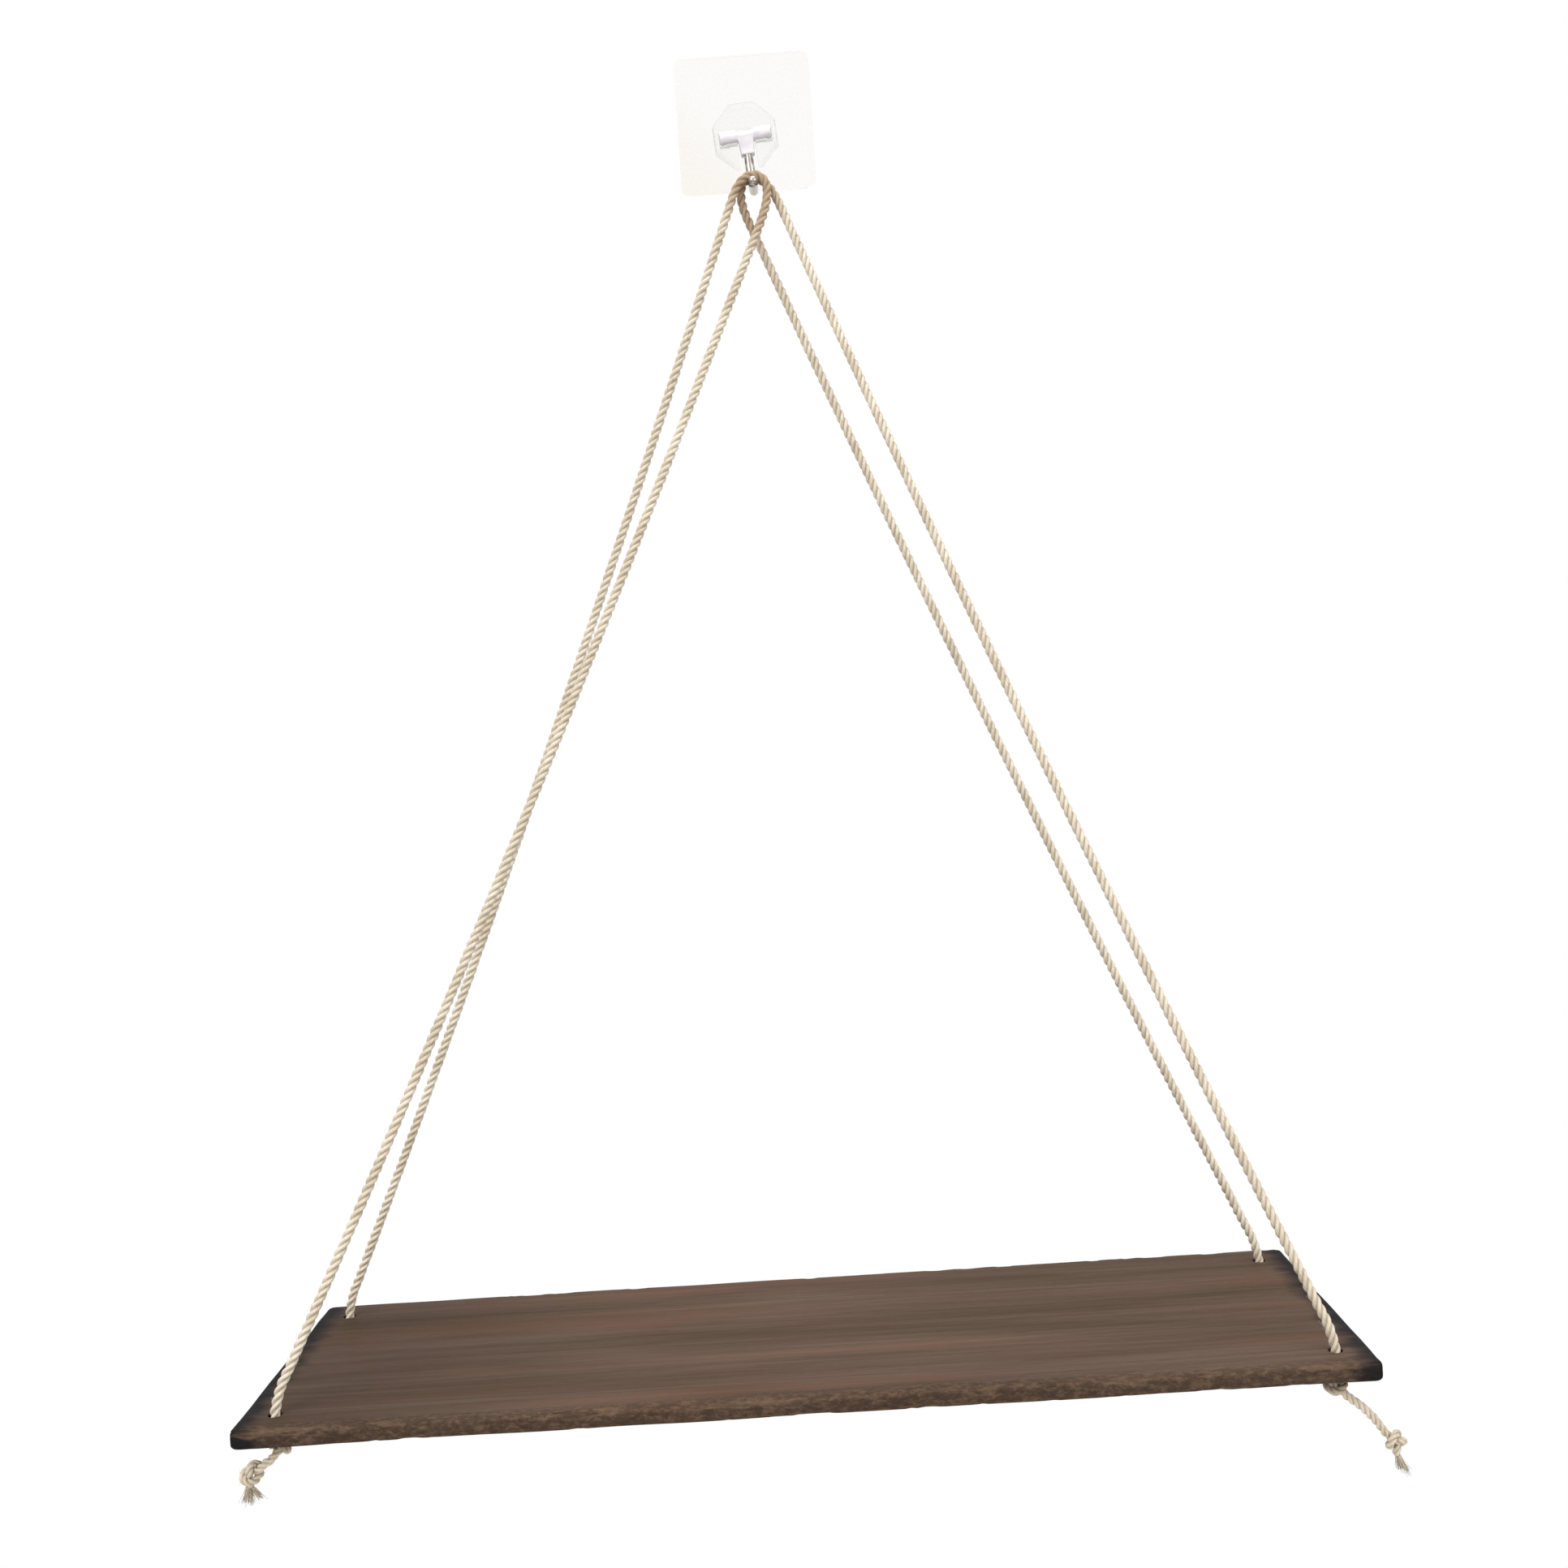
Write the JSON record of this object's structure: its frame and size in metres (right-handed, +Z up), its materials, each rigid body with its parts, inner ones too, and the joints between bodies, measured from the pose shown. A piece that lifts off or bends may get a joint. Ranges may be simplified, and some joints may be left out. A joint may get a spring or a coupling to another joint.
{
  "type": "hanging rope shelf",
  "caption": "Wall shelf: a dark stained wood plank slung on loops of natural twine from a clear stick-on hook, with knots under the plank that stop the twine.",
  "frame": {"origin": "middle of the adhesive's back face, on the wall plane", "axes": "+Y into the wall, +Z up, +X to the right for someone facing the wall; the room is towards -Y"},
  "size_m": [0.4425, 0.132, 0.5922],
  "materials": {
    "adhesive": "clear tacky acrylic layer",
    "clear_plastic": "clear moulded polycarbonate, polished",
    "swivel_plastic": "pale grey translucent moulded plastic",
    "steel_wire": "bright drawn stainless wire",
    "stained_wood": "dark brown stained and scorched pine, worn pale along the arrises",
    "twine": "natural three-strand jute twine, slightly hairy"
  },
  "bodies": {
    "root": {"adhesive_layer": "adhesive", "hook_film": "clear_plastic", "hook_boss": "clear_plastic"},
    "hook": {"hook_swivel": "swivel_plastic", "steel_hook": "steel_wire"},
    "shelf": {"shelf_board": "stained_wood", "left_rope_front_leg": "twine", "left_rope_bight": "twine", "left_rope_back_leg": "twine", "right_rope_front_leg": "twine", "right_rope_bight": "twine", "right_rope_back_leg": "twine", "front_left_stopper_knot": "twine", "front_right_stopper_knot": "twine", "back_left_stopper_knot": "twine", "back_right_stopper_knot": "twine", "front_left_tail": "twine", "front_right_tail": "twine", "back_left_tail": "twine", "back_right_tail": "twine", "front_left_end_knot": "twine", "front_right_end_knot": "twine", "back_left_end_knot": "twine", "back_right_end_knot": "twine", "front_left_frayed_end": "twine", "front_right_frayed_end": "twine", "back_left_frayed_end": "twine", "back_right_frayed_end": "twine"}
  },
  "joints": [
    {"name": "hook_flip", "type": "hinge", "parent": "root", "child": "hook", "pos_m": [0, -0.0043, -0.0065], "axis": [-0.9962, 0, -0.0872], "range_deg": [0, 60]},
    {"name": "shelf_swing", "type": "hinge", "parent": "hook", "child": "shelf", "pos_m": [0.0023, -0.0157, -0.0324], "axis": [0, 1, 0], "range_deg": [-20, 20]}
  ]
}
